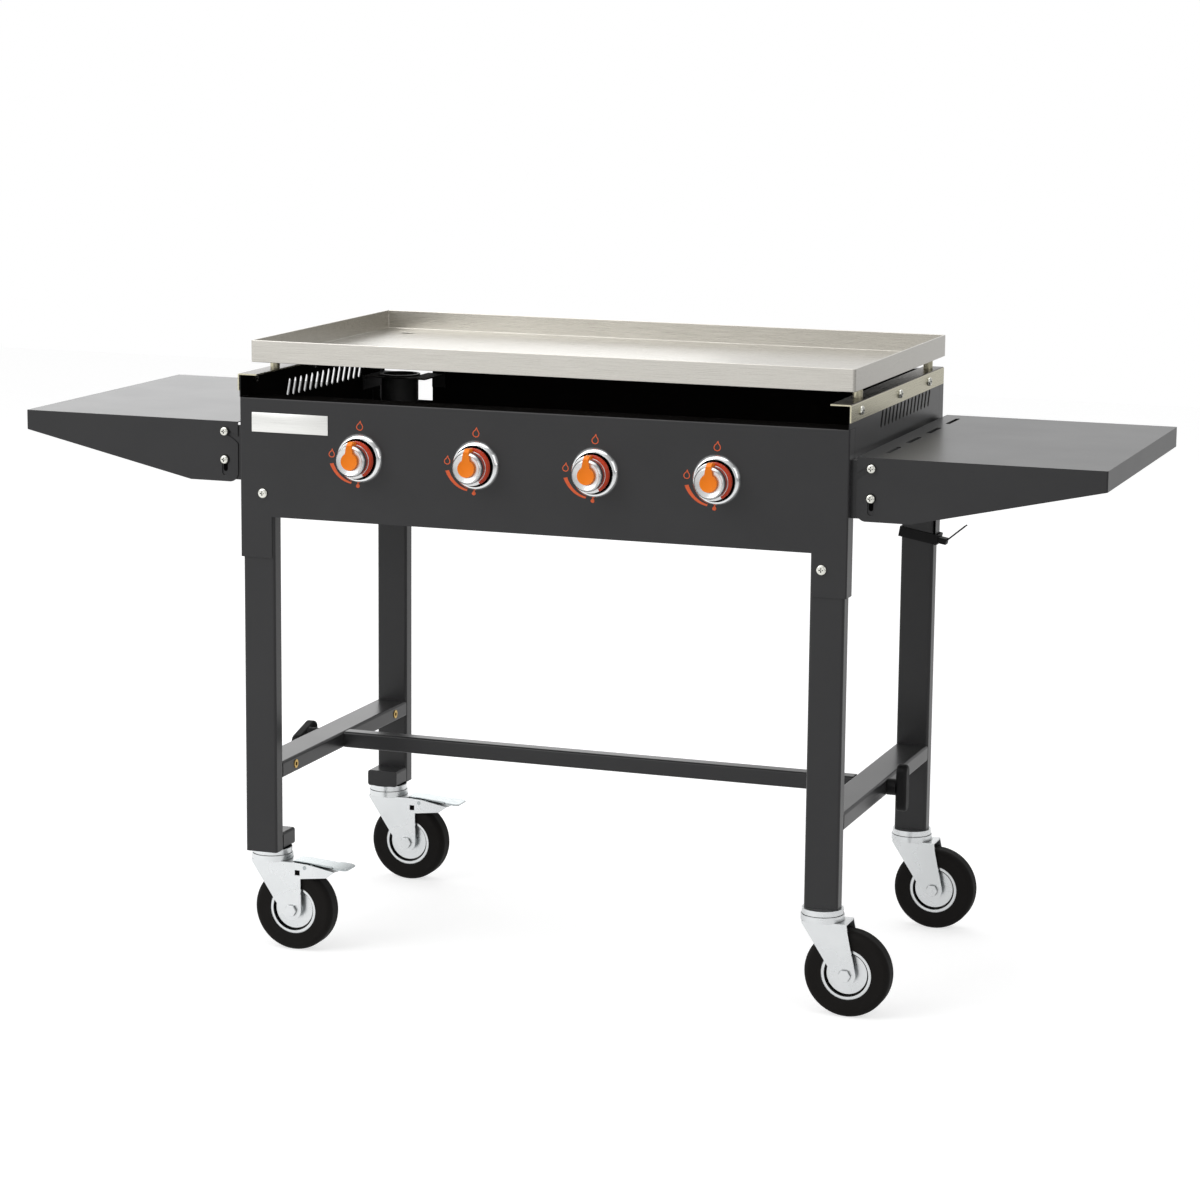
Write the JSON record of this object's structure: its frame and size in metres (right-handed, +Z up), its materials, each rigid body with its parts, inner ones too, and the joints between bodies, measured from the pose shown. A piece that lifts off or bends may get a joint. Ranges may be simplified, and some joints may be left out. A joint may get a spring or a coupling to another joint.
{
  "type": "gas griddle cart",
  "caption": "Free-standing flat-top gas griddle: lift-off stainless plate on a sheet-metal fire box, fold-down side shelves, tube leg frames on swivel casters.",
  "frame": {"origin": "on the floor under the middle of the bounding box", "axes": "+X to the right of someone facing the control knobs, +Y from the knobs to the back, +Z up"},
  "size_m": [1.632, 0.58, 0.912],
  "materials": {
    "powder_coat": "satin charcoal powder coat",
    "cup_enamel": "semi-gloss black",
    "stainless": "brushed stainless steel",
    "fasteners": "plain zinc-plated steel",
    "yellow_zinc": "yellow passivated zinc",
    "bright_zinc": "bright zinc-plated pressed steel",
    "chrome": "polished chrome",
    "brass": "machined brass",
    "stem_steel": "turned steel",
    "knob_silver": "silver moulded plastic",
    "nylon": "moulded black nylon",
    "tyre": "black rubber"
  },
  "bodies": {
    "frame": {"front_panel": "powder_coat", "rear_panel": "powder_coat", "left_side_panel": "powder_coat", "right_side_panel": "powder_coat", "left_plate_rail": "stainless", "right_plate_rail": "stainless", "rail_bolts": "fasteners", "front_left_leg": "powder_coat", "rear_left_leg": "powder_coat", "front_right_leg": "powder_coat", "rear_right_leg": "powder_coat", "leg_pivot_bolts": "fasteners", "left_crossbar": "powder_coat", "right_crossbar": "powder_coat", "rivet_nuts": "yellow_zinc", "brace_tube": "powder_coat", "caster_stubs": "powder_coat", "leg_strap": "nylon", "shelf_brackets": "powder_coat", "shelf_bolts": "fasteners", "knob_bezels": "chrome", "gas_manifold": "bright_zinc", "gas_valves": "brass", "burners": "stainless", "burner_rail": "powder_coat", "electrodes": "bright_zinc", "cup_hanger": "powder_coat", "caster_races": "bright_zinc"},
    "plate": {"griddle_plate": "stainless", "plate_feet": "stainless"},
    "left_shelf_pivot": {"left_shelf_bushes": "nylon"},
    "left_shelf": {"left_shelf": "powder_coat"},
    "right_shelf_pivot": {"right_shelf_bushes": "nylon"},
    "right_shelf": {"right_shelf": "powder_coat"},
    "valve_stem_1": {"valve_stem_1": "stem_steel"},
    "knob_1": {"knob_1": "knob_silver"},
    "valve_stem_2": {"valve_stem_2": "stem_steel"},
    "knob_2": {"knob_2": "knob_silver"},
    "valve_stem_3": {"valve_stem_3": "stem_steel"},
    "knob_3": {"knob_3": "knob_silver"},
    "valve_stem_4": {"valve_stem_4": "stem_steel"},
    "knob_4": {"knob_4": "knob_silver"},
    "front_left_caster": {"front_left_fork": "bright_zinc"},
    "front_left_wheel": {"front_left_tyre": "tyre", "front_left_rim": "bright_zinc"},
    "front_left_brake": {"front_left_brake_pedal": "bright_zinc"},
    "rear_left_caster": {"rear_left_fork": "bright_zinc"},
    "rear_left_wheel": {"rear_left_tyre": "tyre", "rear_left_rim": "bright_zinc"},
    "rear_left_brake": {"rear_left_brake_pedal": "bright_zinc"},
    "front_right_caster": {"front_right_fork": "bright_zinc"},
    "front_right_wheel": {"front_right_tyre": "tyre", "front_right_rim": "bright_zinc"},
    "rear_right_caster": {"rear_right_fork": "bright_zinc"},
    "rear_right_wheel": {"rear_right_tyre": "tyre", "rear_right_rim": "bright_zinc"},
    "grease_cup": {"grease_cup": "cup_enamel"},
    "left_brace_knob": {"left_brace_knob": "nylon"},
    "right_brace_knob": {"right_brace_knob": "nylon"}
  },
  "joints": [
    {"name": "plate_lift", "type": "slide", "parent": "frame", "child": "plate", "axis": [0, 0, 1], "range_m": [0, 0.15]},
    {"name": "left_shelf_fold", "type": "hinge", "parent": "frame", "child": "left_shelf_pivot", "pos_m": [-0.489, 0.0125, 0.7375], "axis": [0, -1, 0], "range_deg": [0, 90]},
    {"name": "left_shelf_lift", "type": "slide", "parent": "left_shelf_pivot", "child": "left_shelf", "axis": [0, 0, 1], "range_m": [0, 0.019]},
    {"name": "right_shelf_fold", "type": "hinge", "parent": "frame", "child": "right_shelf_pivot", "pos_m": [0.489, 0.0125, 0.7375], "axis": [0, 1, 0], "range_deg": [0, 90]},
    {"name": "right_shelf_lift", "type": "slide", "parent": "right_shelf_pivot", "child": "right_shelf", "axis": [0, 0, 1], "range_m": [0, 0.019]},
    {"name": "knob_1_turn", "type": "hinge", "parent": "frame", "child": "valve_stem_1", "pos_m": [-0.27, -0.25, 0.752], "axis": [0, -1, 0], "range_deg": [0, 180]},
    {"name": "knob_1_push", "type": "slide", "parent": "valve_stem_1", "child": "knob_1", "axis": [0, 1, 0], "range_m": [0, 0.004], "stiffness_N_per_m": 700},
    {"name": "knob_2_turn", "type": "hinge", "parent": "frame", "child": "valve_stem_2", "pos_m": [-0.09, -0.25, 0.752], "axis": [0, -1, 0], "range_deg": [0, 180]},
    {"name": "knob_2_push", "type": "slide", "parent": "valve_stem_2", "child": "knob_2", "axis": [0, 1, 0], "range_m": [0, 0.004], "stiffness_N_per_m": 700},
    {"name": "knob_3_turn", "type": "hinge", "parent": "frame", "child": "valve_stem_3", "pos_m": [0.09, -0.25, 0.752], "axis": [0, -1, 0], "range_deg": [0, 180]},
    {"name": "knob_3_push", "type": "slide", "parent": "valve_stem_3", "child": "knob_3", "axis": [0, 1, 0], "range_m": [0, 0.004], "stiffness_N_per_m": 700},
    {"name": "knob_4_turn", "type": "hinge", "parent": "frame", "child": "valve_stem_4", "pos_m": [0.27, -0.25, 0.752], "axis": [0, -1, 0], "range_deg": [0, 180]},
    {"name": "knob_4_push", "type": "slide", "parent": "valve_stem_4", "child": "knob_4", "axis": [0, 1, 0], "range_m": [0, 0.004], "stiffness_N_per_m": 700},
    {"name": "front_left_swivel", "type": "hinge", "parent": "frame", "child": "front_left_caster", "pos_m": [-0.4317, -0.2087, 0.14], "axis": [0, 0, 1], "continuous": true},
    {"name": "front_left_roll", "type": "hinge", "parent": "front_left_caster", "child": "front_left_wheel", "pos_m": [-0.3917, -0.2087, 0.0625], "axis": [0, 1, 0], "continuous": true},
    {"name": "front_left_brake_press", "type": "hinge", "parent": "front_left_caster", "child": "front_left_brake", "pos_m": [-0.3697, -0.2087, 0.1295], "axis": [0, -1, 0], "range_deg": [0, 12]},
    {"name": "rear_left_swivel", "type": "hinge", "parent": "frame", "child": "rear_left_caster", "pos_m": [-0.4317, 0.2317, 0.14], "axis": [0, 0, 1], "continuous": true},
    {"name": "rear_left_roll", "type": "hinge", "parent": "rear_left_caster", "child": "rear_left_wheel", "pos_m": [-0.3917, 0.2317, 0.0625], "axis": [0, 1, 0], "continuous": true},
    {"name": "rear_left_brake_press", "type": "hinge", "parent": "rear_left_caster", "child": "rear_left_brake", "pos_m": [-0.3697, 0.2317, 0.1295], "axis": [0, -1, 0], "range_deg": [0, 12]},
    {"name": "front_right_swivel", "type": "hinge", "parent": "frame", "child": "front_right_caster", "pos_m": [0.4317, -0.2357, 0.14], "axis": [0, 0, 1], "continuous": true},
    {"name": "front_right_roll", "type": "hinge", "parent": "front_right_caster", "child": "front_right_wheel", "pos_m": [0.4717, -0.2357, 0.0625], "axis": [0, 1, 0], "continuous": true},
    {"name": "rear_right_swivel", "type": "hinge", "parent": "frame", "child": "rear_right_caster", "pos_m": [0.4317, 0.2587, 0.14], "axis": [0, 0, 1], "continuous": true},
    {"name": "rear_right_roll", "type": "hinge", "parent": "rear_right_caster", "child": "rear_right_wheel", "pos_m": [0.4717, 0.2587, 0.0625], "axis": [0, 1, 0], "continuous": true},
    {"name": "cup_slide", "type": "slide", "parent": "frame", "child": "grease_cup", "axis": [0, 1, 0], "range_m": [0, 0.12]},
    {"name": "left_brace_knob_turn", "type": "hinge", "parent": "frame", "child": "left_brace_knob", "pos_m": [-0.4567, 0.0115, 0.2745], "axis": [-1, 0, 0], "continuous": true},
    {"name": "right_brace_knob_turn", "type": "hinge", "parent": "frame", "child": "right_brace_knob", "pos_m": [0.4567, 0.0115, 0.2745], "axis": [1, 0, 0], "continuous": true}
  ],
  "couplings": [
    {"joint": "left_shelf_lift", "follows": "left_shelf_fold", "m_per_rad": 0.01209},
    {"joint": "right_shelf_lift", "follows": "right_shelf_fold", "m_per_rad": 0.01209}
  ]
}
